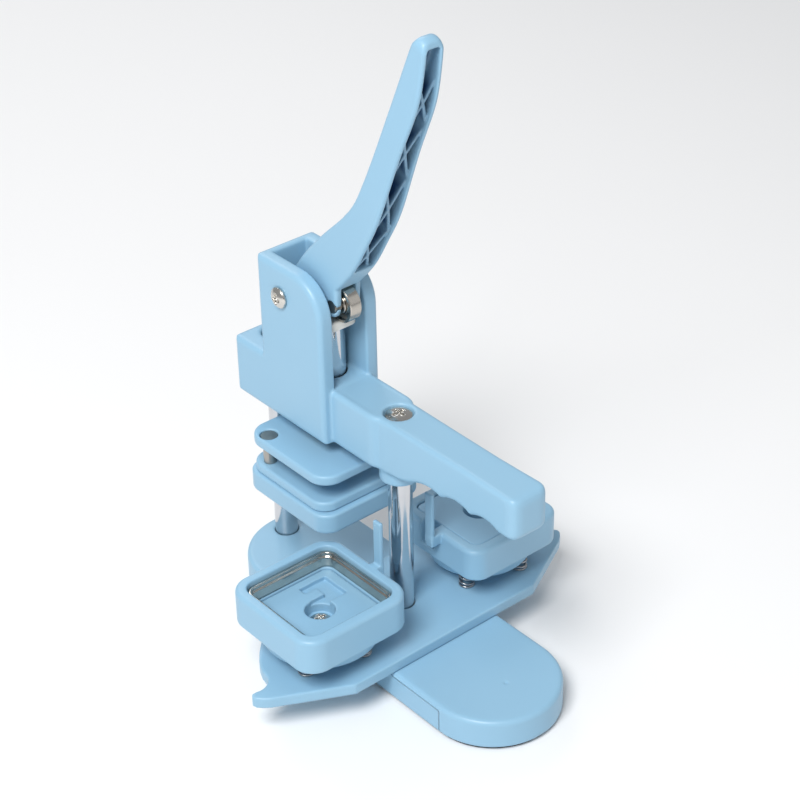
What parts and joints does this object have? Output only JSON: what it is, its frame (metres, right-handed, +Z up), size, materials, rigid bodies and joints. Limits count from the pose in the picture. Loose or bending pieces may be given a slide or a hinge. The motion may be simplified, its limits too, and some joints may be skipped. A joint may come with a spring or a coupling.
{
  "type": "button badge maker press",
  "caption": "Hand lever press that crimps square button badges, with a sprung upper die on a ram and two floating lower dies on a swinging turntable.",
  "frame": {"origin": "on the surface that the machine stands on, under the axis of the ram", "axes": "+Z up along the ram and the columns, -Y forward along the arm, +X towards die B"},
  "size_m": [0.2, 0.2071, 0.3318],
  "materials": {
    "blue_plastic": "semi-gloss moulded sky-blue plastic",
    "column_chrome": "polished chrome",
    "screw_chrome": "bright plated screw heads",
    "hardware_steel": "zinc-plated steel",
    "bearing_steel": "ground warm-grey steel",
    "spring_steel": "drawn spring wire",
    "bush_bronze": "sintered bronze",
    "white_nylon": "natural nylon",
    "pad_rubber": "matt black foam rubber"
  },
  "bodies": {
    "base": {"anti_slip_pad": "pad_rubber", "foot": "blue_plastic", "front_column": "column_chrome", "rear_column": "column_chrome", "front_foot_screw": "hardware_steel", "rear_foot_screw": "hardware_steel", "head_and_arm": "blue_plastic", "front_top_screw": "screw_chrome", "rear_top_screw": "screw_chrome", "ram_guide_bush": "bush_bronze", "hinge_bolt": "screw_chrome", "hinge_nut": "hardware_steel", "hinge_washer_left": "hardware_steel", "hinge_washer_right": "hardware_steel"},
    "handle": {"handle_lever": "blue_plastic", "handle_bushing": "bush_bronze", "roller_pin": "hardware_steel", "roller_inner_ring": "bearing_steel"},
    "roller": {"roller_outer_ring": "bearing_steel"},
    "ram": {"ram_rod": "column_chrome", "ram_cap": "white_nylon", "ram_retaining_ring": "spring_steel", "ram_return_spring": "spring_steel", "upper_plate": "blue_plastic", "pusher_spacer": "hardware_steel", "pusher": "white_nylon", "pusher_screw": "screw_chrome", "block_spring": "spring_steel"},
    "upper_die": {"upper_block": "blue_plastic", "upper_block_plate": "blue_plastic", "guide_post_left": "hardware_steel", "guide_post_right": "hardware_steel"},
    "turntable": {"turntable_plate": "blue_plastic", "turntable_bushing": "white_nylon", "die_a_core": "blue_plastic", "die_a_screw": "screw_chrome", "die_a_nut": "hardware_steel", "die_b_core": "blue_plastic", "die_b_screw": "screw_chrome", "die_b_nut": "hardware_steel", "die_a_spring_1": "spring_steel", "die_a_spring_2": "spring_steel", "die_a_spring_3": "spring_steel", "die_a_spring_4": "spring_steel", "die_b_spring_1": "spring_steel", "die_b_spring_2": "spring_steel", "die_b_spring_3": "spring_steel", "die_b_spring_4": "spring_steel"},
    "sleeve_a": {"die_a_sleeve": "blue_plastic", "die_a_steel_ring": "bearing_steel"},
    "sleeve_b": {"die_b_sleeve": "blue_plastic"}
  },
  "joints": [
    {"name": "handle_hinge", "type": "hinge", "parent": "base", "child": "handle", "pos_m": [0, 0.0136, 0.1774], "axis": [1, 0, 0], "range_deg": [0, 43], "stiffness_Nm_per_rad": 0.35, "springref_deg": -51.57},
    {"name": "roller_spin", "type": "hinge", "parent": "handle", "child": "roller", "pos_m": [0, -0.0128, 0.1793], "axis": [1, 0, 0], "continuous": true},
    {"name": "ram_slide", "type": "slide", "parent": "base", "child": "ram", "axis": [0, 0, 1], "range_m": [-0.0193, 0], "deforming": ["ram_return_spring"]},
    {"name": "block_slide", "type": "slide", "parent": "ram", "child": "upper_die", "axis": [0, 0, 1], "range_m": [0, 0.0107], "deforming": ["block_spring"]},
    {"name": "turntable_turn", "type": "hinge", "parent": "base", "child": "turntable", "pos_m": [0, -0.0515, 0.0208], "axis": [0, 0, 1], "range_deg": [-90, 90]},
    {"name": "sleeve_a_slide", "type": "slide", "parent": "turntable", "child": "sleeve_a", "axis": [0, 0, 1], "range_m": [-0.004, 0], "stiffness_N_per_m": 1500, "springref_m": 0.002, "deforming": ["die_a_spring_1", "die_a_spring_2", "die_a_spring_3", "die_a_spring_4"]},
    {"name": "sleeve_b_slide", "type": "slide", "parent": "turntable", "child": "sleeve_b", "axis": [0, 0, 1], "range_m": [-0.004, 0], "stiffness_N_per_m": 1500, "springref_m": 0.002, "deforming": ["die_b_spring_1", "die_b_spring_2", "die_b_spring_3", "die_b_spring_4"]}
  ],
  "couplings": [
    {"joint": "ram_slide", "follows": "handle_hinge", "m_per_rad": -0.0256},
    {"joint": "block_slide", "follows": "handle_hinge", "m_per_rad": 0.0141}
  ]
}
